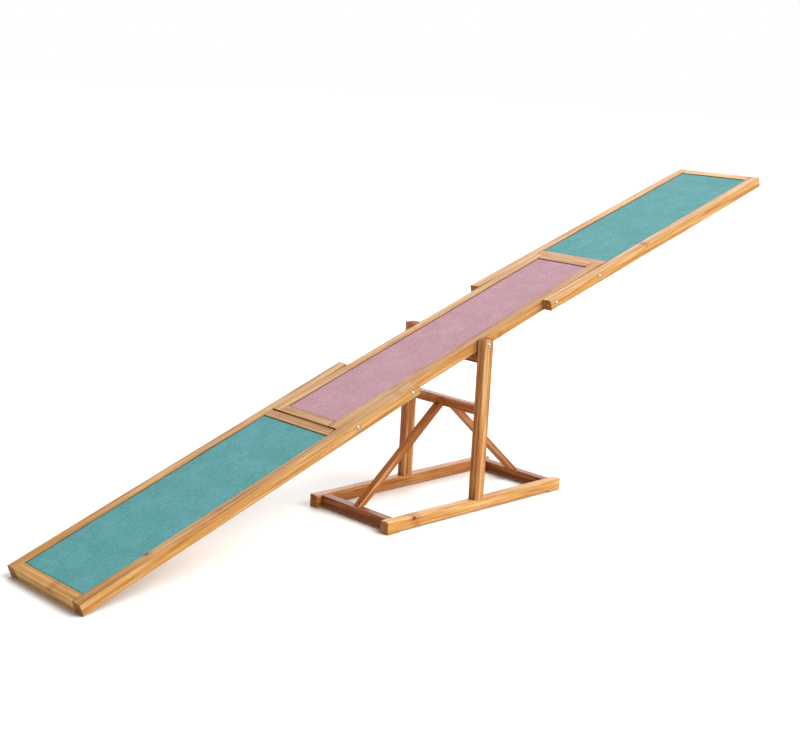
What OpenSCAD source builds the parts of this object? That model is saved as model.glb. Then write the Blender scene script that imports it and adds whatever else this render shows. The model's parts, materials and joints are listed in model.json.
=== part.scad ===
// Dog agility seesaw: a three-section timber plank on a two-post timber stand.
// Frame: +X runs toward the raised end of the plank, +Z is up, and the origin
// lies on the floor below the pivot.

/* [Plank] */
// Overall length, measured along the three sections
plank_len = 2600; // [2400:10:2800]
// Overall width over the rails of the end sections
plank_w = 300; // [280:1:330]
// Width of each rail, and of each lap
rail_w = 30; // [28:1:34]
// Height of the rails and of the crossbars
rail_h = 30; // [30:1:32]
// Length of a crossbar along the plank
cross_l = 28; // [24:1:32]
// Depth of the walking surface below the tops of the rails
recess = 2; // [1:0.5:3]
// Thickness of the grip sheet
grip_t = 1.5; // [1:0.1:1.5]
// Thickness of the plywood panel
panel_t = 4; // [3:0.5:4]

/* [Joints between the sections] */
// Distance from the middle of the plank to each seam between two sections
seam_x = 525; // [515:1:540]
// Width of the seam
seam_gap = 2; // [1.5:0.5:4]
// Distance from the middle of the plank to the end of each lap
lap_x = 262; // [240:1:270]
// Distance from the middle of the plank to the inner bolt of each lap
inner_bolt_x = 286; // [280:1:295]
// Distance from the middle of the plank to the outer bolt of each lap
outer_bolt_x = 479; // [460:1:485]
// Angle by which each end section hangs down from the middle section
droop = 1.2; // [0:0.1:2]
// Distance from the middle of the plank to the point that an end section hangs about
hang_x = 385; // [300:5:400]

/* [Stand] */
// Height of the pivot above the floor
pivot_h = 455; // [430:1:480]
// Distance from the middle of the plank to the pivot, which makes the left end the heavier one
balance = 5; // [4:1:8]
// Length of the base rails
base_l = 680; // [640:5:740]
// Thickness of the base rails and posts, across the stand
stand_t = 27; // [25:1:30]
// Height of the base rails, without the pads
base_h = 30; // [28:1:34]
// Thickness of the pads under the base rails
pad_t = 4; // [3:0.5:6]
// Length of a pad
pad_l = 44; // [36:1:60]
// Width of a post along the base
post_w = 34; // [32:1:40]
// Height of a post above the pivot
post_over = 17; // [16:1:24]
// Section of the stretcher between the posts
stretcher_s = 26; // [26:1:30]
// Height of the top of the stretcher
stretcher_top = 290; // [280:1:300]
// Section of the crossbars of the base
base_cross_s = 28; // [26:1:28]
// Distance from the end of a base rail to the crossbar
base_cross_in = 16; // [12:1:30]
// Width of a brace across the stand
brace_w = 22; // [20:1:26]
// Thickness of a brace
brace_t = 17; // [15:1:19]

/* [Fasteners] */
// Diameter of the coach bolts
bolt_d = 6; // [5:0.5:6]
// Diameter of the round bolt heads
head_d = 13.6; // [12:0.1:14]
// Diameter of the dowels
dowel_d = 8; // [6:0.5:8]

/* [Hidden] */
$fn = 64;

left = -1;
right = 1;
front = -1;
back = 1;

// Finishes
pine = "peru";
ply = "burlywood";
steel = "silver";
teal = "cadetblue";
rose = "thistle";

// Plank, in its own frame: x from its middle, z from the middle of the rails
plank_x = plank_len / 2;
outer_y = plank_w / 2;
lap_y = outer_y - rail_w;
inner_y = lap_y - rail_w;
groove = 8;
edge = 2;
fine_edge = 0.8;
panel_top = rail_h / 2 - recess - grip_t;
panel_z = panel_top - panel_t;
middle_x = seam_x - seam_gap / 2;
inner_cross_x = seam_x + seam_gap / 2;
batten_l = 44;
batten_h = 34;

// Tilt at rest, where the lower end of the left section meets the floor
end_run = plank_x - hang_x;
end_x = hang_x + end_run * cos(droop) - rail_h / 2 * sin(droop);
end_z = end_run * sin(droop) + rail_h / 2 * cos(droop);
long_arm = end_x + balance;
tilt = asin(pivot_h / norm([long_arm, end_z])) - atan2(end_z, long_arm);

// Stand
stand_y = outer_y;
post_y = stand_y - stand_t;
base_top = pad_t + base_h;
post_top = pivot_h + post_over;
base_x = base_l / 2;
base_cross_x = base_x - base_cross_in - base_cross_s;
base_cross_z = pad_t + 1;
base_cross_top = base_cross_z + base_cross_s;
stretcher_z = stretcher_top - stretcher_s;

// Braces: the axis runs from the crossbar's top to the stretcher's face
brace_foot_x = base_cross_x + 5;
brace_head_z = stretcher_top - 13;
brace_run = brace_foot_x - stretcher_s / 2;
brace_rise = brace_head_z - base_cross_top;
brace_angle = atan2(brace_rise, brace_run);
brace_over = 40;
foot_screw_x = brace_foot_x + 3;
foot_screw_z = base_cross_top + 5;
head_screw_x = stretcher_s / 2 + 12;
head_screw_z = stretcher_z + 8;

// Fasteners
head_h = 3.3;
neck_h = 3.5;
nut_af = 10;
nut_h = 5;
washer_d = 12;
washer_t = 1.6;
bolt_tail = 3;
play = 0.05;
turn_gap = 0.4;
lap_bolt_l = 2 * rail_w + washer_t + nut_h + bolt_tail;
pivot_bolt_l = stand_y - inner_y + turn_gap + washer_t + nut_h + bolt_tail;
spacer_t = post_y - lap_y - turn_gap;
dowel_in_rail = 18;
dowel_in_bar = 22;
dowel_pitch = 14;
dowel_z = -4;
stretcher_dowel_pitch = 13;
screw_d = 4.5;
screw_head_d = 9;
screw_head_h = 3;
foot_screw_l = 28;
head_screw_l = 24;
post_screw_l = 80;
batten_screw_l = 46;
batten_screw_x = 11;
screw_seat_l = 30;
spacer_d = 16;

// ---------- shared shapes ----------

// Rectangle w by h about the origin, with its corners cut by c
module cut_rect(w, h, c) {
    x = w / 2;
    y = h / 2;
    polygon([
        [-x + c, -y], [x - c, -y], [x, -y + c], [x, y - c],
        [x - c, y], [-x + c, y], [-x, y - c], [-x, -y + c]
    ]);
}

// Bars with chamfered long edges, filling the box from corner a to corner b
module bar_x(a, b) {
    d = b - a;
    translate([a[0], (a[1] + b[1]) / 2, (a[2] + b[2]) / 2])
        rotate([90, 0, 90])
        linear_extrude(d[0])
        cut_rect(d[1], d[2], edge);
}

module bar_y(a, b, c = edge) {
    d = b - a;
    translate([(a[0] + b[0]) / 2, a[1], (a[2] + b[2]) / 2])
        rotate([-90, 0, 0])
        linear_extrude(d[1])
        cut_rect(d[0], d[2], c);
}

module bar_z(a, b) {
    d = b - a;
    translate([(a[0] + b[0]) / 2, (a[1] + b[1]) / 2, a[2]])
        linear_extrude(d[2])
        cut_rect(d[0], d[1], edge);
}

module block(a, b) {
    translate(a) cube(b - a);
}

// Cylinder of diameter d along Y from y0 to y1
module rod_y(d, y0, y1, fn = $fn) {
    translate([0, y0, 0])
        rotate([-90, 0, 0])
        cylinder(d = d, h = y1 - y0, $fn = fn);
}

// Screw with a countersunk head at z = 0 and its point at z = l
module screw(l) {
    tip = screw_d * 0.9;
    rotate_extrude()
        polygon([
            [0, 0], [screw_head_d / 2, 0], [screw_head_d / 2, 0.6],
            [screw_d / 2, screw_head_h], [screw_d / 2, l - tip], [0, l]
        ]);
}

// Coach bolt along +Y, with the underside of its round head at y = 0
module coach_bolt(l) {
    ball_r = (pow(head_d / 2, 2) + pow(head_h, 2)) / (2 * head_h);
    union() {
        intersection() {
            translate([0, ball_r - head_h, 0]) sphere(r = ball_r);
            rod_y(head_d, -head_h, 0);
        }
        bolt_way(l, 0);
    }
}

// Square neck and round shank of a coach bolt, starting over above the timber.
// It is also the way that the bolt takes through the timber.
module bolt_way(l, over) {
    half = bolt_d / 2;
    block([-half, -over, -half], [half, neck_h, half]);
    rod_y(bolt_d, -over, l);
}

module washer() {
    difference() {
        rod_y(washer_d, 0, washer_t);
        rod_y(bolt_d + 0.4, -1, washer_t + 1);
    }
}

module nut() {
    difference() {
        rod_y(nut_af / cos(30), 0, nut_h, 6);
        rod_y(bolt_d, -1, nut_h + 1);
    }
}

// Places a shape that runs along +Y on the front side, the back side or both
module on_side(side) {
    if (side == front) children();
    else mirror([0, 1, 0]) children();
}

module both_sides() {
    children();
    mirror([0, 1, 0]) children();
}

module both_ends() {
    children();
    mirror([1, 0, 0]) children();
}

// Two dowels along +Y in each end of a crossbar that spans from -y to y
module dowel_pair(x, y, z) {
    both_sides()
        for (dx = [-dowel_pitch / 2, dowel_pitch / 2])
            translate([x + dx, 0, z])
                rod_y(dowel_d, -y - dowel_in_rail, -y + dowel_in_bar);
}

// ---------- frames of the plank ----------

// Frame of the plank at the pivot
module pivot_frame() {
    translate([0, 0, pivot_h]) rotate([0, -tilt, 0]) children();
}

// Frame of the plank at its middle
module plank_frame() {
    pivot_frame() translate([-balance, 0, 0]) children();
}

// Frame of an end section, which hangs about its lap. Built for the right
// section, and mirrored for the left.
module end_frame(side) {
    plank_frame()
        mirror([side == left ? 1 : 0, 0, 0])
        translate([hang_x, 0, 0])
        rotate([0, droop, 0])
        translate([-hang_x, 0, 0])
        children();
}

// ---------- bolts of the laps and of the pivot ----------

module at_lap_bolts() {
    plank_frame()
        both_ends()
        for (x = [inner_bolt_x, outer_bolt_x])
            translate([x, 0, 0])
                both_sides()
                    children();
}

module lap_bolt_ways() {
    at_lap_bolts() translate([0, -outer_y, 0]) bolt_way(lap_bolt_l, 5);
}

module at_pivot(y) {
    translate([0, 0, pivot_h])
        both_sides()
        translate([0, y, 0])
        children();
}

// ---------- stand ----------

module base_rail(side) {
    on_side(side)
        difference() {
            bar_x([-base_x, -stand_y, pad_t], [base_x, -post_y, base_top]);
            base_dowel_shapes();
            post_screw_shapes();
        }
}

module base_rail_front() color(pine) base_rail(front);
module base_rail_back() color(pine) base_rail(back);

module base_crossbar(side) {
    mirror([side == left ? 1 : 0, 0, 0])
        difference() {
            bar_y(
                [base_cross_x, -post_y, base_cross_z],
                [base_cross_x + base_cross_s, post_y, base_cross_top]
            );
            base_dowel_shapes();
            brace_foot_screw();
        }
}

module base_crossbar_left() color(pine) base_crossbar(left);
module base_crossbar_right() color(pine) base_crossbar(right);

module base_dowel_shapes() {
    both_ends()
        dowel_pair(
            base_cross_x + base_cross_s / 2,
            post_y,
            base_cross_z + base_cross_s / 2
        );
}

module base_dowels() color(ply) base_dowel_shapes();

module foot_pads() {
    color(pine)
        both_ends()
        both_sides()
        block([base_x - pad_l, -stand_y, 0], [base_x, -post_y, pad_t]);
}

module post(side) {
    on_side(side)
        difference() {
            bar_z(
                [-post_w / 2, -stand_y, base_top],
                [post_w / 2, -post_y, post_top]
            );
            at_pivot(-stand_y) bolt_way(pivot_bolt_l, 5);
            post_screw_shapes();
            stretcher_dowel_shapes();
        }
}

module post_front() color(pine) post(front);
module post_back() color(pine) post(back);

// Screws that hold each post down, driven from under the base rail
module post_screw_shapes() {
    both_sides()
        for (x = [-post_w / 4, post_w / 4])
            translate([x, -stand_y + stand_t / 2, pad_t])
                screw(post_screw_l);
}

module post_screws() color(steel) post_screw_shapes();

module stretcher() {
    color(pine)
        difference() {
            bar_y(
                [-stretcher_s / 2, -post_y, stretcher_z],
                [stretcher_s / 2, post_y, stretcher_top]
            );
            stretcher_dowel_shapes();
            both_ends() brace_head_screw();
        }
}

// Two dowels, one above the other, in each end of the stretcher
module stretcher_dowel_shapes() {
    both_sides()
        for (dz = [-stretcher_dowel_pitch / 2, stretcher_dowel_pitch / 2])
            translate([0, 0, (stretcher_z + stretcher_top) / 2 + dz])
                rod_y(dowel_d, -post_y - dowel_in_rail, -post_y + dowel_in_bar);
}

module stretcher_dowels() color(ply) stretcher_dowel_shapes();

// Brace on the right, from the base crossbar up to the stretcher's face
module brace_shape() {
    length = norm([brace_run, brace_rise]) + 2 * brace_over;
    difference() {
        intersection() {
            translate([brace_foot_x, 0, base_cross_top])
                rotate([0, brace_angle - 90, 0])
                translate([0, 0, -brace_over])
                linear_extrude(length)
                cut_rect(brace_t, brace_w, 1.5);
            block(
                [stretcher_s / 2, -brace_w, base_cross_top],
                [base_x, brace_w, stretcher_top]
            );
        }
        brace_foot_screw();
        brace_foot_seat();
        brace_head_screw();
        brace_head_seat();
    }
}

module brace_left() color(pine) mirror([1, 0, 0]) brace_shape();
module brace_right() color(pine) brace_shape();

// The foot screw drops down through the brace near its end, and the head
// screw runs level into the stretcher. Each head sits in a short seat bore.
module brace_foot_screw() {
    translate([foot_screw_x, 0, foot_screw_z])
        mirror([0, 0, 1])
        screw(foot_screw_l);
}

module brace_foot_seat() {
    translate([foot_screw_x, 0, foot_screw_z])
        cylinder(d = screw_head_d, h = screw_seat_l);
}

module brace_head_screw() {
    translate([head_screw_x, 0, head_screw_z])
        rotate([0, -90, 0])
        screw(head_screw_l);
}

module brace_head_seat() {
    translate([head_screw_x, 0, head_screw_z])
        rotate([0, 90, 0])
        cylinder(d = screw_head_d, h = screw_seat_l);
}

module brace_screws() {
    color(steel)
        both_ends() {
            brace_foot_screw();
            brace_head_screw();
        }
}

// ---------- pivot ----------

module pivot_bolts() color(steel) at_pivot(-stand_y) coach_bolt(pivot_bolt_l);

// Thick washers that fill the gap between each post and the plank
module pivot_spacers() {
    color(steel)
        at_pivot(-post_y)
        difference() {
            rod_y(spacer_d, 0, spacer_t);
            rod_y(bolt_d, -1, spacer_t + 1);
        }
}

module pivot_washers() color(steel) at_pivot(-inner_y + turn_gap) washer();
module pivot_nuts() color(steel) at_pivot(-inner_y + turn_gap + washer_t) nut();

module pivot_batten() {
    color(pine)
        pivot_frame()
        difference() {
            bar_y(
                [-batten_l / 2, -lap_y, -rail_h / 2 - batten_h],
                [batten_l / 2, lap_y, -rail_h / 2]
            );
            batten_screw_shapes();
        }
}

// Screws driven up through the batten into the rails
module batten_screw_shapes() {
    both_ends()
        both_sides()
        translate([batten_screw_x, -inner_y - rail_w / 2, -rail_h / 2 - batten_h])
        screw(batten_screw_l);
}

module batten_screws() color(steel) pivot_frame() batten_screw_shapes();

// ---------- middle section ----------

module middle_rail(side) {
    difference() {
        plank_frame()
            on_side(side)
            difference() {
                bar_x([-middle_x, -lap_y, -rail_h / 2], [middle_x, -inner_y, rail_h / 2]);
                middle_panel_shape();
                middle_dowel_shapes();
            }
        pivot_frame() {
            batten_screw_shapes();
            rod_y(bolt_d + 2 * play, -outer_y, outer_y);
        }
        lap_bolt_ways();
    }
}

module middle_rail_front() color(pine) middle_rail(front);
module middle_rail_back() color(pine) middle_rail(back);

module middle_crossbar(side) {
    plank_frame()
        mirror([side == left ? 1 : 0, 0, 0])
        difference() {
            bar_y(
                [middle_x - cross_l, -inner_y, -rail_h / 2],
                [middle_x, inner_y, rail_h / 2],
                fine_edge
            );
            middle_panel_shape();
            middle_dowel_shapes();
        }
}

module middle_crossbar_left() color(pine) middle_crossbar(left);
module middle_crossbar_right() color(pine) middle_crossbar(right);

// The plywood sits in a groove in the rails and crossbars around it
module middle_panel_shape() {
    x = middle_x - cross_l + groove;
    y = inner_y + groove;
    block([-x, -y, panel_z], [x, y, panel_top]);
}

module middle_panel() color(ply) plank_frame() middle_panel_shape();

module middle_grip() {
    x = middle_x - cross_l;
    color(rose)
        plank_frame()
        block([-x, -inner_y, panel_top], [x, inner_y, panel_top + grip_t]);
}

module middle_dowel_shapes() {
    both_ends() dowel_pair(middle_x - cross_l / 2, inner_y, dowel_z);
}

module middle_dowels() color(ply) plank_frame() middle_dowel_shapes();

// ---------- end sections ----------

module end_rail(end, side) {
    difference() {
        end_frame(end)
            on_side(side)
            difference() {
                bar_x([lap_x, -outer_y, -rail_h / 2], [plank_x, -lap_y, rail_h / 2]);
                end_panel_shape();
                end_dowel_shapes();
            }
        lap_bolt_ways();
    }
}

module left_rail_front() color(pine) end_rail(left, front);
module left_rail_back() color(pine) end_rail(left, back);
module right_rail_front() color(pine) end_rail(right, front);
module right_rail_back() color(pine) end_rail(right, back);

// Crossbar of an end section, with its near face at x
module end_bar(end, x) {
    end_frame(end)
        difference() {
            bar_y([x, -lap_y, -rail_h / 2], [x + cross_l, lap_y, rail_h / 2], fine_edge);
            end_panel_shape();
            end_dowel_shapes();
        }
}

module left_end_crossbar() color(pine) end_bar(left, plank_x - cross_l);
module left_inner_crossbar() color(pine) end_bar(left, inner_cross_x);
module right_end_crossbar() color(pine) end_bar(right, plank_x - cross_l);
module right_inner_crossbar() color(pine) end_bar(right, inner_cross_x);

module end_panel_shape() {
    x0 = inner_cross_x + cross_l - groove;
    x1 = plank_x - cross_l + groove;
    y = lap_y + groove;
    block([x0, -y, panel_z], [x1, y, panel_top]);
}

module left_panel() color(ply) end_frame(left) end_panel_shape();
module right_panel() color(ply) end_frame(right) end_panel_shape();

module end_grip_shape() {
    x0 = inner_cross_x + cross_l;
    x1 = plank_x - cross_l;
    block([x0, -lap_y, panel_top], [x1, lap_y, panel_top + grip_t]);
}

module left_grip() color(teal) end_frame(left) end_grip_shape();
module right_grip() color(teal) end_frame(right) end_grip_shape();

module end_dowel_shapes() {
    for (x = [inner_cross_x, plank_x - cross_l])
        dowel_pair(x + cross_l / 2, lap_y, dowel_z);
}

module left_dowels() color(ply) end_frame(left) end_dowel_shapes();
module right_dowels() color(ply) end_frame(right) end_dowel_shapes();

module lap_bolts() {
    color(steel) at_lap_bolts() translate([0, -outer_y, 0]) coach_bolt(lap_bolt_l);
}

module lap_washers() {
    color(steel) at_lap_bolts() translate([0, -inner_y, 0]) washer();
}

module lap_nuts() {
    color(steel) at_lap_bolts() translate([0, -inner_y + washer_t, 0]) nut();
}

// ---------- drawing ----------

base_rail_front();
base_rail_back();
base_crossbar_left();
base_crossbar_right();
foot_pads();
base_dowels();
post_front();
post_back();
post_screws();
stretcher();
stretcher_dowels();
brace_left();
brace_right();
brace_screws();
pivot_bolts();
pivot_spacers();
pivot_washers();
pivot_nuts();
middle_rail_front();
middle_rail_back();
middle_crossbar_left();
middle_crossbar_right();
middle_panel();
middle_grip();
middle_dowels();
pivot_batten();
batten_screws();
left_rail_front();
left_rail_back();
left_end_crossbar();
left_inner_crossbar();
left_panel();
left_grip();
left_dowels();
right_rail_front();
right_rail_back();
right_end_crossbar();
right_inner_crossbar();
right_panel();
right_grip();
right_dowels();
lap_bolts();
lap_washers();
lap_nuts();
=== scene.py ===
# Dog agility seesaw: finishes, fine fasteners, floor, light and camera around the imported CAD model.
# Lengths are metres, apart from those inside shaders, which are millimetres. Front is -Y, back is +Y,
# left is -X (the end on the floor) and right is +X (the raised end).

import json
import math
import random
from itertools import combinations

import bmesh
import bpy
from mathutils import Matrix, Vector, noise


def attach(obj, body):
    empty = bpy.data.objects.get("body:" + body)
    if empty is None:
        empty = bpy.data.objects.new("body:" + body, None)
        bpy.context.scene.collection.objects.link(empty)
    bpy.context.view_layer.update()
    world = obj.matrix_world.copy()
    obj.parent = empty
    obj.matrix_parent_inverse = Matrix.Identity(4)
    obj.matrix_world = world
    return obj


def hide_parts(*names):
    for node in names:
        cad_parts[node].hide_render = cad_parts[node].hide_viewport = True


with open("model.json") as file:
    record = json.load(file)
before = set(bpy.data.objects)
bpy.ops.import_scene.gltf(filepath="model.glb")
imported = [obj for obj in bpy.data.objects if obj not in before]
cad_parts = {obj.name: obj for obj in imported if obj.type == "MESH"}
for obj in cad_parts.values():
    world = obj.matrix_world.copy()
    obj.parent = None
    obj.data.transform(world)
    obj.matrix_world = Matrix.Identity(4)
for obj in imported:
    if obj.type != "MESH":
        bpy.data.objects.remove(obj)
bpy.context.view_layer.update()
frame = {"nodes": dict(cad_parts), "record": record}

MM = 0.001
X, Y, Z = Vector((1, 0, 0)), Vector((0, 1, 0)), Vector((0, 0, 1))
SECTIONS = ("left", "middle", "right")


# ---------- camera, light and floor ----------

CAMERA_PLACE = Vector((-2.737, -2.567, 1.170))
CAMERA_YAW, CAMERA_PITCH, CAMERA_ROLL = -44.93, -12.45, 3.03
CAMERA_LENS, CAMERA_SENSOR = 63.69, 36.0


def make_camera():
    yaw, pitch, roll = (math.radians(a) for a in (CAMERA_YAW, CAMERA_PITCH, CAMERA_ROLL))
    ahead = Vector((-math.sin(yaw) * math.cos(pitch), math.cos(yaw) * math.cos(pitch), math.sin(pitch)))
    level = ahead.cross(Z).normalized()
    upright = level.cross(ahead)
    right = level * math.cos(roll) + upright * math.sin(roll)
    up = upright * math.cos(roll) - level * math.sin(roll)
    data = bpy.data.cameras.new("camera")
    data.lens, data.sensor_width = CAMERA_LENS, CAMERA_SENSOR
    data.clip_start, data.clip_end = 0.05, 200.0
    camera = bpy.data.objects.new("camera", data)
    camera.rotation_mode = "QUATERNION"
    camera.rotation_quaternion = Matrix((right, up, -ahead)).transposed().to_quaternion()
    camera.location = CAMERA_PLACE
    bpy.context.scene.collection.objects.link(camera)
    bpy.context.scene.camera = camera


LIT_POINT = Vector((0.0, 0.0, 0.4))
SUN_FROM, SUN_POWER, SUN_SPREAD = Vector((0.32, -0.62, 0.72)), 4.1, 50.0
SUN_AWAY, SUN_COLOUR = 6.0, (1.0, 0.985, 0.96)
SHEEN_FROM, SHEEN_AWAY, SHEEN_SIZE, SHEEN_POWER = Vector((0.52, 0.66, 0.54)), 5.5, 6.0, 260
HORIZON, SKY = 1.0, 0.2  # brightness of the world low down and overhead
HORIZON_TOP, SKY_BASE = 0.12, 0.5  # sine of the elevation where each begins to give way
FLOOR_REACH, FLOOR_TONES = 40.0, (0.88, 0.91)


def add_light(name, kind, place, **settings):
    data = bpy.data.lights.new(name, kind)
    for key, value in settings.items():
        setattr(data, key, value)
    lamp = bpy.data.objects.new(name, data)
    lamp.location = place
    lamp.rotation_mode = "QUATERNION"
    lamp.rotation_quaternion = (LIT_POINT - place).to_track_quat("-Z", "Y")
    bpy.context.scene.collection.objects.link(lamp)


def make_lights():
    """A broad key from the front right, and a soft box behind that gives the top faces their sheen."""
    sun = LIT_POINT + SUN_FROM * SUN_AWAY
    add_light("key", "SUN", sun, energy=SUN_POWER, angle=math.radians(SUN_SPREAD), color=SUN_COLOUR)
    box = LIT_POINT + SHEEN_FROM * SHEEN_AWAY
    add_light("sheen", "AREA", box, shape="DISK", size=SHEEN_SIZE, energy=SHEEN_POWER)


def make_world():
    """A studio shell: white low down, where it is seen behind the object, and dim overhead."""
    world = bpy.data.worlds.new("studio")
    bpy.context.scene.world = world
    world.use_nodes = True
    shader = Shader(world.node_tree)
    shader.tree.nodes.clear()
    split = shader.node("SeparateXYZ", {"Vector": shader.node("TexCoord").outputs["Generated"]})
    level = shader.step(split.outputs["Z"], HORIZON_TOP, SKY_BASE, HORIZON, SKY)
    light = shader.node("Background", {"Color": level, "Strength": 1.0})
    shader.node("OutputWorld", {"Surface": light.outputs[0]})


def make_floor():
    made = bmesh.new()
    bmesh.ops.create_grid(made, x_segments=8, y_segments=8, size=FLOOR_REACH)
    floor = link_mesh("floor", made)
    material, shader, surface = new_material("pale_floor")
    surface.inputs["Roughness"].default_value = 0.6
    surface.inputs["Specular IOR Level"].default_value = 0.2
    place = shader.node("TexCoord").outputs["Object"]
    cloud = shader.noise(place, 1.5, 3.0)
    shader.feed(surface.inputs["Base Color"], shader.mix(cloud, *(grey(tone) for tone in FLOOR_TONES)))
    floor.data.materials.append(material)


# ---------- meshes ----------


def link_mesh(name, made, smooth=False):
    """Turns a finished bmesh into a linked object."""
    mesh = bpy.data.meshes.new(name)
    made.normal_update()
    made.to_mesh(mesh)
    made.free()
    if smooth:
        for face in mesh.polygons:
            face.use_smooth = True
    piece = bpy.data.objects.new(name, mesh)
    bpy.context.scene.collection.objects.link(piece)
    return piece


def solids_of(node):
    """The vertices of each separate solid of a CAD node, as lists of points."""
    made = bmesh.new()
    made.from_mesh(frame["nodes"][node].data)
    bmesh.ops.remove_doubles(made, verts=made.verts, dist=0.01 * MM)
    left, found = set(made.verts), []
    while left:
        todo, solid = [left.pop()], []
        while todo:
            vert = todo.pop()
            solid.append(vert.co.copy())
            near = {edge.other_vert(vert) for edge in vert.link_edges} & left
            left -= near
            todo += near
        found.append(solid)
    made.free()
    return sorted(found, key=lambda points: tuple(middle_of(points)))


def middle_of(points):
    low = Vector(min(p[i] for p in points) for i in range(3))
    high = Vector(max(p[i] for p in points) for i in range(3))
    return (low + high) / 2


def upward(node):
    """The normal of a CAD node's largest upward face."""
    faces = [f for f in frame["nodes"][node].data.polygons if f.normal.z > 0.6 and abs(f.normal.y) < 0.1]
    return max(faces, key=lambda f: f.area).normal.copy()


class Bar:
    """A CAD node's own frame: middle, axes along its grain, across and up, and half sizes."""

    def __init__(self, node, grain="x"):
        up = upward(node)
        ahead = Y.cross(up)
        self.axes = {"x": (ahead, Y, up), "y": (Y, -ahead, up), "z": (Z, Y, -X)}[grain]
        points = [v.co for v in frame["nodes"][node].data.vertices]
        spans = [[p.dot(axis) for p in points] for axis in self.axes]
        self.half = Vector((max(s) - min(s)) / 2 for s in spans)
        self.middle = sum(((max(s) + min(s)) / 2 * a for s, a in zip(spans, self.axes)), Vector())

    def matrix(self):
        turn = Matrix(self.axes).transposed().to_4x4()
        return Matrix.Translation(self.middle) @ turn


# ---------- shader helpers ----------


def srgb(red, green, blue):
    """A linear colour from 8-bit display values."""
    parts = [c / 255 for c in (red, green, blue)]
    return (*(c / 12.92 if c <= 0.04045 else ((c + 0.055) / 1.055) ** 2.4 for c in parts), 1.0)


def grey(value):
    return (value, value, value, 1.0)


class Shader:
    """Short calls that add nodes to one tree. Most give the new node's output."""

    def __init__(self, tree):
        self.tree = tree

    def feed(self, socket, value):
        if isinstance(value, bpy.types.NodeSocket):
            self.tree.links.new(value, socket)
        else:
            socket.default_value = value

    def node(self, kind, inputs=None, **settings):
        made = self.tree.nodes.new("ShaderNode" + kind)
        for name, value in settings.items():
            setattr(made, name, value)
        for name, value in (inputs or {}).items():
            self.feed(made.inputs[name], value)
        return made

    def math(self, operation, *values):
        made = self.node("Math", operation=operation)
        for socket, value in zip(made.inputs, values):
            self.feed(socket, value)
        return made.outputs[0]

    def vector(self, operation, *values, output="Vector"):
        made = self.node("VectorMath", operation=operation)
        for socket, value in zip(made.inputs, values):
            self.feed(socket, value)
        return made.outputs[output]

    def scale(self, vector, factor):
        made = self.node("VectorMath", {"Vector": vector, "Scale": factor}, operation="SCALE")
        return made.outputs["Vector"]

    def dot(self, a, b):
        return self.vector("DOT_PRODUCT", a, tuple(b), output="Value")

    def noise(self, at, scale, detail=2.0, roughness=0.5):
        inputs = {"Vector": at, "Scale": scale, "Detail": detail, "Roughness": roughness}
        return self.node("TexNoise", inputs).outputs["Fac"]

    def along(self, bar):
        """Millimetres from a bar's middle, along its grain, across it and up."""
        off = self.vector("SUBTRACT", self.node("TexCoord").outputs["Object"], tuple(bar.middle))
        parts = [self.math("MULTIPLY", self.dot(off, axis), 1 / MM) for axis in bar.axes]
        return self.node("CombineXYZ", dict(zip("XYZ", parts))).outputs["Vector"]

    def step(self, value, low, high, start=0.0, end=1.0):
        """A smooth step from start at low to end at high."""
        inputs = {"Value": value, "From Min": low, "From Max": high, "To Min": start, "To Max": end}
        return self.node("MapRange", inputs, interpolation_type="SMOOTHSTEP").outputs["Result"]

    def ramp(self, value, *stops):
        made = self.node("ValToRGB", {"Fac": value})
        points = made.color_ramp.elements
        for place, _ in stops[2:]:
            points.new(place)
        for point, (place, level) in zip(sorted(points, key=lambda p: p.position), sorted(stops)):
            point.position, point.color = place, grey(level)
        return made.outputs["Color"]

    def mix(self, share, a, b, blend="MIX"):
        made = self.node("Mix", data_type="RGBA", blend_type=blend)
        self.feed(made.inputs["Factor"], share)
        self.feed(made.inputs[6], a)
        self.feed(made.inputs[7], b)
        return made.outputs[2]

    def layers(self, colour, *coats):
        """Lays coats of (share, paint) over a colour, one by one."""
        for share, paint in coats:
            colour = self.mix(share, colour, paint)
        return colour

    def share(self, value, part):
        return self.math("MULTIPLY", value, part)

    def total(self, start, *parts):
        """Start plus parts of (value, weight)."""
        for value, weight in parts:
            start = self.math("ADD", start, self.math("MULTIPLY", value, weight))
        return start


def new_material(name):
    """(material, its Shader, its Principled node)"""
    material = bpy.data.materials.new(name)
    material.use_nodes = True
    shader = Shader(material.node_tree)
    surface = next(n for n in material.node_tree.nodes if n.type == "BSDF_PRINCIPLED")
    return material, shader, surface


def finish_surface(shader, surface, colour, roughness, height_mm):
    shader.feed(surface.inputs["Base Color"], colour)
    shader.feed(surface.inputs["Roughness"], roughness)
    bump = shader.node("Bump", {"Height": height_mm, "Distance": MM, "Strength": 1.0})
    shader.feed(surface.inputs["Normal"], bump.outputs["Normal"])


# ---------- pine ----------

EARLY_WOOD, LATE_WOOD = srgb(186, 130, 64), srgb(128, 60, 16)
RED_WOOD, YELLOW_WOOD = srgb(168, 82, 32), srgb(196, 153, 86)
# The darkest brown also paints the shade on the recess walls beside the sheets.
KNOT_AND_SHADE, PALE_WOOD_AND_HIGHLIGHT, END_GRAIN_AND_SHADE = srgb(62, 26, 8), srgb(212, 176, 124), srgb(96, 46, 16)
WOOD_GLOSS = 0.15
KNOT_CELL, KNOT_RARITY, KNOT_LEAST, KNOT_MORE = 90.0, 0.45, 2.0, 5.5  # spacing, share left out, radii
KNOT_HALO, KNOT_STRETCH = 16.0, 0.08
STAIN_AND_SHADE_FADES = (1.0, 1.4, 1.8)  # how fast red, green and blue change with a bar's lightness, which comes from stain and from painted shade and sheen
PINE_INPUTS = {
    "At": "Vector", "Half": "Vector", "Seed": "Vector", "Pith": "Vector",
    "Ring": "Float", "Tone": "Float", "Depth": "Vector", "Inner": "Float",
}
PINE_OUTPUTS = {"Color": "Color", "Roughness": "Float", "Height": "Float"}
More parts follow.
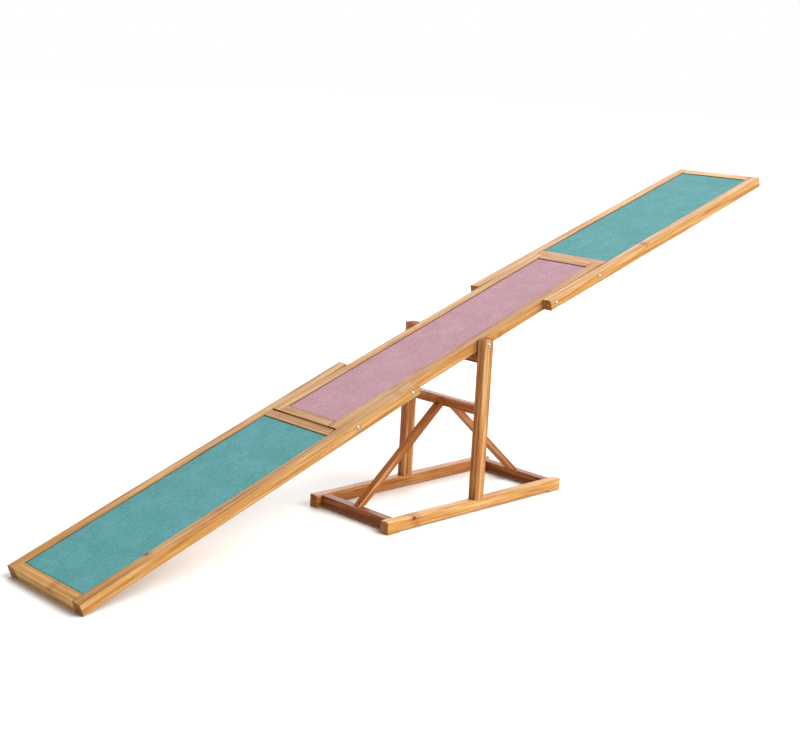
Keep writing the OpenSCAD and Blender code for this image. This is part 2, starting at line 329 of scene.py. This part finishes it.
# Lightness and redness here are partly stain and partly painted light: the darker, redder base crossbars
# and batten and the redder stretcher carry painted shade from under the plank, and the pale right-section
# bars carry painted sheen.
TONES = {  # (red rather than yellow, lightness) of the bars that stand out from the rest
    "base_crossbar_left": (2.0, 0.52), "base_crossbar_right": (1.8, 0.62), "stretcher": (1.2, 0.98),
    "pivot_batten": (1.6, 0.6), "brace_left": (0.8, 0.9), "brace_right": (1.0, 0.8),
    "post_front": (0.3, 1.0), "post_back": (0.7, 0.97), "base_rail_front": (-0.1, 1.16),
    "base_rail_back": (0.4, 1.0), "left_end_crossbar": (-0.4, 1.16),
    "left_rail_front": (-0.8, 0.98), "left_rail_back": (-0.5, 1.0),
    "left_inner_crossbar": (-0.8, 0.92), "middle_crossbar_left": (-0.8, 0.92),
    "right_rail_front": (-0.2, 1.15), "right_rail_back": (-0.3, 1.14), "right_end_crossbar": (-0.4, 1.16),
}


def pine_group():
    """A solid pine pattern. At is in millimetres from the bar's middle, with x along the grain. Half is the
    bar's half size, Seed and Pith pick its piece of the tree, and Ring is the width of a year."""
    tree = bpy.data.node_groups.new("pine_pattern", "ShaderNodeTree")
    for way, sockets in (("INPUT", PINE_INPUTS), ("OUTPUT", PINE_OUTPUTS)):
        for name, kind in sockets.items():
            tree.interface.new_socket(name, in_out=way, socket_type="NodeSocket" + kind)
    s = Shader(tree)
    given = tree.nodes.new("NodeGroupInput").outputs
    at = given["At"]
    far = s.vector("ADD", at, given["Seed"])

    def stretched(along, across):
        """A place to read a noise that has so many features to the millimetre."""
        return s.vector("MULTIPLY", far, (along, across, across))

    knot, halo = pine_knots(s, at, far)
    rings = pine_rings(s, at, given, s.noise(stretched(0.004, 0.03), 1.0, 2.0), halo)
    streaks = s.noise(stretched(0.004, 0.11), 1.0, 2.0, 0.55)
    clouds = s.noise(stretched(0.009, 0.03), 1.0, 2.0)
    fibres = s.noise(stretched(0.03, 1.6), 1.0, 4.0, 0.65)
    pores = s.step(s.noise(stretched(0.07, 2.4), 1.0, 1.0), 0.66, 0.74)

    edge, end = pine_edges(s, at, given["Half"])
    # Pale rubbed edges: partly wear, partly a painted highlight along the rounded edges.
    scuffs_and_highlights = s.noise(stretched(0.025, 0.09), 1.0, 3.0, 0.65)
    worn_and_highlit = s.math("MULTIPLY", edge, s.step(scuffs_and_highlights, 0.40, 0.72))

    tone = s.total(given["Tone"], (s.math("SUBTRACT", clouds, 0.5), 2.2))
    colour = s.layers(
        s.mix(s.step(tone, -0.5, 1.4), YELLOW_WOOD, RED_WOOD),
        (0.3, EARLY_WOOD),
        (s.share(rings, 0.5), LATE_WOOD),
        (s.step(streaks, 0.52, 0.70, 0.0, 0.62), LATE_WOOD),
        (s.step(streaks, 0.34, 0.48, 0.62, 0.0), PALE_WOOD_AND_HIGHLIGHT),
        (s.step(fibres, 0.3, 0.7, 0.3, 0.0), LATE_WOOD),
        (s.share(pores, 0.45), KNOT_AND_SHADE),
        (s.share(halo, 0.5), LATE_WOOD),
        (s.share(knot, 0.85), KNOT_AND_SHADE),
        # pale edges, partly wear and partly painted highlight
        (s.share(worn_and_highlit, 0.3), PALE_WOOD_AND_HIGHLIGHT),
        # painted shade down the wall of the recess beside the sheet
        (s.share(painted_recess_shade(s, at, given), 0.6), KNOT_AND_SHADE),
        # darker end faces: partly end grain, partly painted shade
        (s.share(end, 0.55), END_GRAIN_AND_SHADE),
    )
    # Depth scales the whole bar's colour: partly stain, partly painted shade and painted sheen.
    colour = s.vector("MULTIPLY", colour, given["Depth"])
    rough = s.total(0.30, (rings, 0.07), (fibres, 0.12), (worn_and_highlit, 0.18), (end, 0.3))
    height = s.total(0.0, (rings, 0.04), (fibres, 0.07), (pores, -0.06))
    out = tree.nodes.new("NodeGroupOutput")
    for name, value in zip(PINE_OUTPUTS, (colour, rough, height)):
        tree.links.new(value, out.inputs[name])
    return tree


def pine_knots(s, at, far):
    """(core, halo) of knots that run through the bar, some from face to face and some from side to side."""
    cores, halos = [], []
    for squash in ((1.0, 1.0, KNOT_STRETCH), (1.0, KNOT_STRETCH, 1.0)):
        place = s.vector("MULTIPLY", far, squash)
        cell = s.node("TexVoronoi", {"Vector": place, "Scale": 1.0 / KNOT_CELL})
        away = s.total(0.0, (cell.outputs["Distance"], KNOT_CELL), (s.noise(at, 0.12, 2.0), 3.0))
        chance = s.dot(cell.outputs["Color"], X)
        real = s.math("GREATER_THAN", chance, KNOT_RARITY)
        beyond = s.math("SUBTRACT", away, s.total(KNOT_LEAST, (chance, KNOT_MORE)))
        core = s.step(beyond, 1.2, -0.8)
        halo = s.step(beyond, KNOT_HALO, 0.0)
        cores.append(s.math("MULTIPLY", core, real))
        halos.append(s.math("MULTIPLY", halo, real))
    return s.math("MAXIMUM", *cores), s.math("MAXIMUM", *halos)


def pine_rings(s, at, given, wander, halo):
    """Growth rings round a pith that runs aslant of the bar, pushed aside by knots."""
    split = s.node("SeparateXYZ", {"Vector": at}).outputs
    pith = s.node("SeparateXYZ", {"Vector": given["Pith"]}).outputs
    aside = s.total(s.math("ADD", split["Y"], pith["Y"]), (split["X"], pith["X"]))
    above = s.math("ADD", split["Z"], pith["Z"])
    squares = [s.math("MULTIPLY", part, part) for part in (aside, above)]
    radius = s.total(s.math("SQRT", s.math("ADD", *squares)), (wander, 14.0), (halo, 9.0))
    year = s.math("FRACT", s.math("DIVIDE", radius, given["Ring"]))
    return s.ramp(year, (0.0, 0.1), (0.5, 0.22), (0.86, 1.0), (0.95, 0.9), (1.0, 0.1))


def painted_recess_shade(s, at, given):
    """Painted shade on the wall of the recess beside the sheet, from 0 to 1. Inner is the side that the
    sheet is on.
    """
    _, across, up = s.node("SeparateXYZ", {"Vector": at}).outputs
    _, half_across, half_up = s.node("SeparateXYZ", {"Vector": given["Half"]}).outputs
    aside = s.math("SUBTRACT", half_across, s.math("MULTIPLY", across, given["Inner"]))
    below = s.math("SUBTRACT", half_up, up)
    return s.math("MULTIPLY", s.step(aside, 2.4, 1.5), s.step(below, 0.3, 1.3))


def pine_edges(s, at, half):
    """(near a long or short edge, on an end face), each from 0 to 1."""
    inside = s.vector("SUBTRACT", half, s.vector("ABSOLUTE", at))
    x, y, z = s.node("SeparateXYZ", {"Vector": inside}).outputs
    nearer = s.math("MINIMUM", x, y)
    between = s.math("MINIMUM", s.math("MAXIMUM", x, y), z)
    edge = s.step(s.math("MAXIMUM", nearer, between), 3.2, 1.0)
    return edge, s.step(x, 1.2, 0.4)


def inner_side(node, bar):
    """Which side across a bar its section's panel is on: 1, -1, or 0 for none."""
    section = node.split("_")[0]
    if section not in SECTIONS:
        return 0.0
    return math.copysign(1.0, (Bar(section + "_panel").middle - bar.middle).dot(bar.axes[1]))


def pine_material(node, bar, group):
    """Pine for one bar, with its own run of rings, knots and tone."""
    dice = random.Random("pine " + node)
    material, shader, surface = new_material("pine_" + node)
    turn, reach = dice.uniform(0, 2 * math.pi), dice.uniform(18, 60)
    tone, lightness = TONES.get(node, (dice.uniform(-0.5, 0.25), dice.uniform(0.95, 1.07)))
    pattern = shader.node("Group", node_tree=group)
    settings = {
        "At": shader.along(bar),
        "Half": tuple(bar.half / MM),
        "Seed": tuple(dice.uniform(0, 5000) for _ in range(3)),
        "Pith": (dice.uniform(-0.03, 0.03), reach * math.cos(turn), reach * math.sin(turn)),
        "Ring": dice.uniform(3.0, 6.0),
        "Tone": tone,
        "Depth": tuple(lightness**depth for depth in STAIN_AND_SHADE_FADES),
        "Inner": inner_side(node, bar),
    }
    for name, value in settings.items():
        shader.feed(pattern.inputs[name], value)
    finish_surface(shader, surface, *(pattern.outputs[name] for name in PINE_OUTPUTS))
    surface.inputs["Specular IOR Level"].default_value = WOOD_GLOSS
    return material


def dress(node, material):
    """Gives a CAD node its material."""
    piece = frame["nodes"][node]
    piece.data.materials.clear()
    piece.data.materials.append(material)


def soften(node, width, segments=3):
    """Rounds the sharp edges of a CAD node."""
    piece = frame["nodes"][node]
    weld = piece.modifiers.new("weld", "WELD")
    weld.merge_threshold = 0.01 * MM
    bevel = piece.modifiers.new("round", "BEVEL")
    bevel.width, bevel.segments, bevel.limit_method = width, segments, "ANGLE"
    bevel.angle_limit = math.radians(30)
    even = piece.modifiers.new("even", "WEIGHTED_NORMAL")
    even.keep_sharp = False


TIMBER_EDGE, STEEL_EDGE = 0.7 * MM, 0.3 * MM
GRAIN = {  # the axis that the grain of a bar follows, by a word in its name
    "rail": "x", "crossbar": "y", "stretcher": "y", "batten": "y", "post": "z", "brace": "x", "pads": "x",
}


def timber():
    """Every timber bar with the letter of its grain's axis."""
    found = {}
    for part in frame["record"]["subparts"]:
        if part["material_slot"] == "pine":
            node = part["node"]
            found[node] = next(letter for word, letter in GRAIN.items() if word in node)
    return found


def dress_timber():
    group = pine_group()
    for node, letter in timber().items():
        dress(node, pine_material(node, Bar(node, letter), group))
        soften(node, TIMBER_EDGE)


# ---------- plywood and dowels ----------

VENEER = (srgb(214, 178, 128), srgb(176, 130, 82))
BEECH = (srgb(216, 176, 132), srgb(184, 136, 92))


def streaked_material(name, bar, light, dark, streak_mm):
    """Veneer or turned hardwood: long fine streaks along the bar."""
    material, s, surface = new_material(name)
    at = s.along(bar)
    wander = s.noise(s.vector("MULTIPLY", at, (0.004, 0.012, 0.0)), 1.0, 3.0)
    bent = s.vector("ADD", at, s.scale((0.0, 60.0, 0.0), wander))
    bent = s.vector("MULTIPLY", bent, (0.006, 1.0 / streak_mm, 1.0 / streak_mm))
    veins = s.noise(bent, 1.0, 4.0, 0.6)
    fibres = s.noise(s.vector("MULTIPLY", at, (0.04, 1.4, 1.4)), 1.0, 3.0, 0.6)
    colour = s.layers(dark, (s.step(veins, 0.3, 0.7), light), (s.step(fibres, 0.3, 0.7, 0.3, 0.0), dark))
    finish_surface(s, surface, colour, s.total(0.55, (fibres, 0.15)), s.share(fibres, 0.08))
    return material


def dress_sheets():
    for section in SECTIONS:
        node = section + "_panel"
        dress(node, streaked_material("veneer_" + section, Bar(node), *VENEER, 9.0))
    for node in ("base_dowels", "stretcher_dowels", "left_dowels", "middle_dowels", "right_dowels"):
        rail = "middle_rail_front" if node == "middle_dowels" else "base_rail_front"
        dress(node, streaked_material("beech_" + node, Bar(rail, "y"), *BEECH, 2.0))


# ---------- steel ----------


def zinc_material():
    """Bright zinc plate with fine turning marks and dull patches."""
    material, s, surface = new_material("bright_zinc")
    at = s.scale(s.node("TexCoord").outputs["Object"], 1 / MM)
    patches = s.noise(at, 0.35, 3.0, 0.6)
    marks = s.noise(s.vector("MULTIPLY", at, (2.2, 9.0, 2.2)), 1.0, 2.0)
    colour = s.mix(patches, srgb(140, 132, 120), srgb(190, 184, 174))
    finish_surface(s, surface, colour, s.total(0.14, (patches, 0.2)), s.share(marks, 0.015))
    surface.inputs["Metallic"].default_value = 1.0
    return material


# ---------- grip sheets ----------

GRIP_STEP, GRIP_INSET, GRIP_SAG = 3.0 * MM, 0.9 * MM, 0.45 * MM
LUMP_HEIGHT, LUMP_SIZE = 0.16 * MM, 2.6 * MM
GRIP_GLOSS = 0.35
TEAL = (srgb(79, 145, 144), srgb(93, 156, 164), srgb(57, 127, 122))
ROSE = (srgb(176, 136, 145), srgb(188, 148, 162), srgb(156, 112, 122))


def grip_material(name, colours):
    """A matt sheet bonded from fine coloured granules."""
    middle, light, dark = colours
    material, s, surface = new_material(name)
    at = s.scale(s.node("TexCoord").outputs["Object"], 1 / MM)
    grain = s.node("TexVoronoi", {"Vector": at, "Scale": 0.62})
    chance = s.dot(grain.outputs["Color"], X)
    clouds = s.noise(at, 0.018, 3.0, 0.6)
    patches = s.noise(at, 0.11, 3.0, 0.6)
    specks = s.noise(at, 0.2, 2.0, 0.7)
    colour = s.layers(
        middle,
        (s.step(clouds, 0.3, 0.7), light),
        (s.step(patches, 0.42, 0.75, 0.0, 0.5), dark),
        (s.step(specks, 0.5, 0.7, 0.0, 0.5), dark),
        (s.step(specks, 0.3, 0.5, 0.6, 0.0), light),
        (s.step(chance, 0.55, 1.0, 0.0, 0.45), dark),
        (s.step(chance, 0.0, 0.3, 0.5, 0.0), light),
    )
    height = s.total(0.35, (grain.outputs["Distance"], -0.35), (chance, 0.25))
    finish_surface(s, surface, colour, s.total(0.72, (chance, 0.2)), height)
    surface.inputs["Specular IOR Level"].default_value = GRIP_GLOSS
    return material


def grip_sheet(section, material):
    """A granular sheet with a soft cut edge, just inside the CAD sheet's outline."""
    node = section + "_grip"
    bar = Bar(node)
    hx, hy = bar.half.x - GRIP_INSET, bar.half.y - GRIP_INSET
    nx, ny = round(2 * hx / GRIP_STEP), round(2 * hy / GRIP_STEP)
    origin = Vector((random.Random(section).uniform(0, 99), 0.0, 0.0))
    made = bmesh.new()

    def corner(i, j):
        x, y = hx * (2 * i / nx - 1), hy * (2 * j / ny - 1)
        rim = i in (0, nx) or j in (0, ny)
        lump = noise.noise(Vector((x, y, 0.0)) / LUMP_SIZE + origin)
        sag = GRIP_SAG if rim else 0.0
        return made.verts.new((x, y, bar.half.z + LUMP_HEIGHT * (lump - 1.0) - sag))

    top = [[corner(i, j) for j in range(ny + 1)] for i in range(nx + 1)]
    for i in range(nx):
        for j in range(ny):
            made.faces.new((top[i][j], top[i + 1][j], top[i + 1][j + 1], top[i][j + 1]))
    border = [top[i][0] for i in range(nx + 1)] + [top[nx][j] for j in range(1, ny + 1)]
    border += [top[i][ny] for i in range(nx - 1, -1, -1)] + [top[0][j] for j in range(ny - 1, 0, -1)]
    low = [made.verts.new((v.co.x, v.co.y, -bar.half.z)) for v in border]
    for k, vert in enumerate(border):
        after = (k + 1) % len(border)
        made.faces.new((vert, low[k], low[after], border[after]))
    made.faces.new(reversed(low))
    made.transform(bar.matrix())
    sheet = link_mesh(section + "_grip_sheet", made, smooth=True)
    sheet.data.materials.append(material)
    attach(sheet, "plank")
    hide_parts(node)


def make_grips():
    teal, rose = grip_material("teal_granules", TEAL), grip_material("rose_granules", ROSE)
    grip_sheet("left", teal)
    grip_sheet("middle", rose)
    grip_sheet("right", teal)


# ---------- fasteners ----------

ROUND_STEPS = 48
THREAD_PITCH, THREAD_DEPTH = 1.0 * MM, 0.55 * MM
M6_RADIUS, BOLT_HEAD_H, BOLT_RIM, BOLT_THREAD = 3.0 * MM, 3.3 * MM, 0.15 * MM, 16 * MM
NUT_FLATS, NUT_CHAMFER, NUT_MOUTH = 10 * MM, 0.55 * MM, 0.35 * MM
SCREW_HEAD_R, SCREW_HEAD_H, SCREW_R, SCREW_POINT = 4.45 * MM, 2.9 * MM, 2.2 * MM, 4 * MM
CROSS_WING, CROSS_SLOT, CROSS_LIP, CROSS_DEEP = 2.4 * MM, 0.55 * MM, 0.12 * MM, 1.6 * MM
CROSS_TAPER = 0.7
TIP_REACH, RIM_SLACK = 1.5 * MM, 0.05 * MM
CRISP_ANGLE = math.radians(35)


def circle(made, place, radius, along):
    """A ring of new vertices round place's Z."""
    turns = (2 * math.pi * k / ROUND_STEPS for k in range(ROUND_STEPS))
    spots = [Vector((radius * math.cos(t), radius * math.sin(t), along)) for t in turns]
    return [made.verts.new(place @ spot) for spot in spots]


def join_rings(made, low, high):
    """Faces between two rings of as many vertices."""
    for k in range(len(low)):
        after = (k + 1) % len(low)
        made.faces.new((low[k], low[after], high[after], high[k]))


def revolve(made, place, profile):
    """Adds a closed turned shape: profile is (radius, distance along place's Z), from axis to axis."""
    rings = []
    for radius, along in profile:
        if radius == 0:
            rings.append([made.verts.new(place @ Vector((0, 0, along)))])
        else:
            rings.append(circle(made, place, radius, along))
    for low, high in zip(rings, rings[1:]):
        for k in range(ROUND_STEPS):
            after = (k + 1) % ROUND_STEPS
            here = [low[k % len(low)], low[after % len(low)]]
            there = [high[after % len(high)], high[k % len(high)]]
            made.faces.new(dict.fromkeys(here + there))


def thread_profile(start, end, radius):
    """Rings of a threaded shank, ridge by ridge."""
    count = int((end - start) / (THREAD_PITCH / 2))
    inner = radius - THREAD_DEPTH
    return [(radius if k % 2 else inner, start + k * THREAD_PITCH / 2) for k in range(count)]


def coach_bolt(made, place, head_r, length):
    """A round-headed bolt whose head's underside is at place, with a thread on its last stretch."""
    ball = (head_r**2 + BOLT_HEAD_H**2) / (2 * BOLT_HEAD_H)
    sweep = math.asin((head_r - BOLT_RIM) / ball)
    turns = (sweep * k / 10 for k in range(1, 11))
    dome = [(0, -BOLT_HEAD_H)]
    dome += [(ball * math.sin(t), ball - BOLT_HEAD_H - ball * math.cos(t)) for t in turns]
    rim = [(head_r, -0.12 * BOLT_HEAD_H), (head_r, -0.1 * MM), (head_r - BOLT_RIM, 0.0)]
    bare = length - BOLT_THREAD
    shank = [(M6_RADIUS, 0.0), (M6_RADIUS, bare)]
    tail = thread_profile(bare + 0.2 * MM, length - 0.6 * MM, M6_RADIUS)
    core = M6_RADIUS - THREAD_DEPTH
    tip = [(core, length - 0.3 * MM), (core - 0.3 * MM, length), (0, length)]
    revolve(made, place, dome + rim + shank + tail + tip)


def hex_nut(made, place, height):
    """A six-sided nut with its corners turned down to a cone at both faces."""
    side = NUT_FLATS / 2
    corner = side / math.cos(math.pi / 6)
    inset = side * 0.98
    outer = [(inset, 0.0), (corner, NUT_CHAMFER), (corner, height - NUT_CHAMFER), (inset, height)]
    wide = M6_RADIUS + NUT_MOUTH
    inner = [(wide, height), (M6_RADIUS, height - NUT_MOUTH), (M6_RADIUS, NUT_MOUTH), (wide, 0.0)]

    def ring(limit, along):
        """The hexagon, or a circle of radius limit where that is nearer."""
        spots = []
        for k in range(ROUND_STEPS):
            turn = 2 * math.pi * k / ROUND_STEPS
            flat = side / math.cos((turn + math.pi / 6) % (math.pi / 3) - math.pi / 6)
            radius = min(flat, limit)
            spot = Vector((radius * math.cos(turn), radius * math.sin(turn), along))
            spots.append(made.verts.new(place @ spot))
        return spots

    rings = [ring(limit, along) for limit, along in outer + inner]
    for low, high in zip(rings, rings[1:] + rings[:1]):
        join_rings(made, low, high)


def farthest_pair(points):
    """The two points that lie farthest apart."""
    pairs = combinations(range(len(points)), 2)
    a, b = max(pairs, key=lambda pair: ((points[pair[0]] - points[pair[1]]).length, pair))
    return points[a], points[b]


def crowd(points, spot):
    """How many points lie about a spot."""
    return sum((p - spot).length < TIP_REACH for p in points)


def screw_frames(node):
    """For each screw of a CAD node: a matrix at its head's middle with Z along it, and its length."""
    found = []
    for points in solids_of(node):
        tip = min(farthest_pair(points), key=lambda end: crowd(points, end))
        reach = max((p - tip).length for p in points)
        rim = [p for p in points if (p - tip).length > reach - RIM_SLACK]
        head = sum(rim, Vector()) / len(rim)
        axis = (tip - head).normalized()
        turn = axis.to_track_quat("Z", "Y").to_matrix().to_4x4()
        found.append((Matrix.Translation(head) @ turn, (tip - head).length))
    return found


def cross_outline():
    """The twelve corners of a cross recess."""
    quarter = [(CROSS_WING, CROSS_SLOT), (CROSS_SLOT, CROSS_SLOT), (CROSS_SLOT, CROSS_WING)]
    half = quarter + [(-x, y) for x, y in reversed(quarter)]
    return half + [(-x, -y) for x, y in half]


def cross_screw(made, place, length):
    """A countersunk screw with a cross recess in its head."""
    rim = circle(made, place, SCREW_HEAD_R, 0.0)
    lip = [made.verts.new(place @ Vector((x, y, CROSS_LIP))) for x, y in cross_outline()]
    foot = [Vector((x * CROSS_TAPER, y * CROSS_TAPER, CROSS_DEEP)) for x, y in cross_outline()]
    pit = [made.verts.new(place @ spot) for spot in foot]
    edges = []
    for loop in (rim, lip):
        edges += [made.edges.new((loop[k], loop[(k + 1) % len(loop)])) for k in range(len(loop))]
    bmesh.ops.triangle_fill(made, edges=edges, use_beauty=True)
    join_rings(made, lip, pit)
    made.faces.new(reversed(pit))
    head = [(SCREW_HEAD_R, 0.5 * MM), (SCREW_R, SCREW_HEAD_H)]
    shank = [(SCREW_R, length - SCREW_POINT), (0.3 * MM, length)]
    rows = [rim] + [circle(made, place, radius, along) for radius, along in head + shank]
    for low, high in zip(rows, rows[1:]):
        join_rings(made, high, low)
    made.faces.new(rows[-1])


def finish_set(made, node, body, material):
    """Links a set of like fasteners, which stands for the CAD node."""
    bmesh.ops.recalc_face_normals(made, faces=made.faces)
    piece = link_mesh(node.removesuffix("s") + "_set", made, smooth=True)
    crisp = piece.modifiers.new("crisp", "EDGE_SPLIT")
    crisp.split_angle = CRISP_ANGLE
    piece.data.materials.append(material)
    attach(piece, body)
    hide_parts(node)


def reach_from_middle(points):
    """The nearest and farthest of points from the middle plane."""
    away = [abs(p.y) for p in points]
    return min(away), max(away)


def inward(points):
    """The direction from the outside of the seesaw to its middle plane."""
    return -Y if middle_of(points).y > 0 else Y


def fastener_place(points, start, turn=0.0):
    """A matrix with Z along the fastener, at distance start along Y from the middle plane."""
    axis = inward(points)
    middle = middle_of(points)
    spot = Vector((middle.x, -axis.y * start, middle.z))
    facing = axis.to_track_quat("Z", "Y").to_matrix().to_4x4()
    return Matrix.Translation(spot) @ facing @ Matrix.Rotation(turn, 4, "Z")


def make_bolts(node, body, material):
    made = bmesh.new()
    for points in solids_of(node):
        near, far = reach_from_middle(points)
        head_r = (max(p.x for p in points) - min(p.x for p in points)) / 2
        place = fastener_place(points, far - BOLT_HEAD_H)
        coach_bolt(made, place, head_r, far - near - BOLT_HEAD_H)
    finish_set(made, node, body, material)


def make_nuts(node, body, material):
    made = bmesh.new()
    dice = random.Random(node)
    for points in solids_of(node):
        near, far = reach_from_middle(points)
        place = fastener_place(points, far, dice.uniform(0, math.pi / 3))
        hex_nut(made, place, far - near)
    finish_set(made, node, body, material)


def make_screws(node, body, material):
    made = bmesh.new()
    dice = random.Random(node)
    for place, length in screw_frames(node):
        cross_screw(made, place @ Matrix.Rotation(dice.uniform(0, math.pi), 4, "Z"), length)
    finish_set(made, node, body, material)


def make_fasteners():
    zinc = zinc_material()
    for node, body in (("pivot_bolts", "stand"), ("lap_bolts", "plank")):
        make_bolts(node, body, zinc)
    for node, body in (("pivot_nuts", "stand"), ("lap_nuts", "plank")):
        make_nuts(node, body, zinc)
    for node, body in (("post_screws", "stand"), ("brace_screws", "stand"), ("batten_screws", "plank")):
        make_screws(node, body, zinc)
    for node in ("pivot_spacers", "pivot_washers", "lap_washers"):
        dress(node, zinc)
        soften(node, STEEL_EDGE, 2)


# ---------- everything ----------

make_camera()
make_lights()
make_world()
make_floor()
dress_timber()
dress_sheets()
make_grips()
make_fasteners()

bpy.context.scene.view_settings.view_transform = "Standard"
bpy.context.view_layer.update()
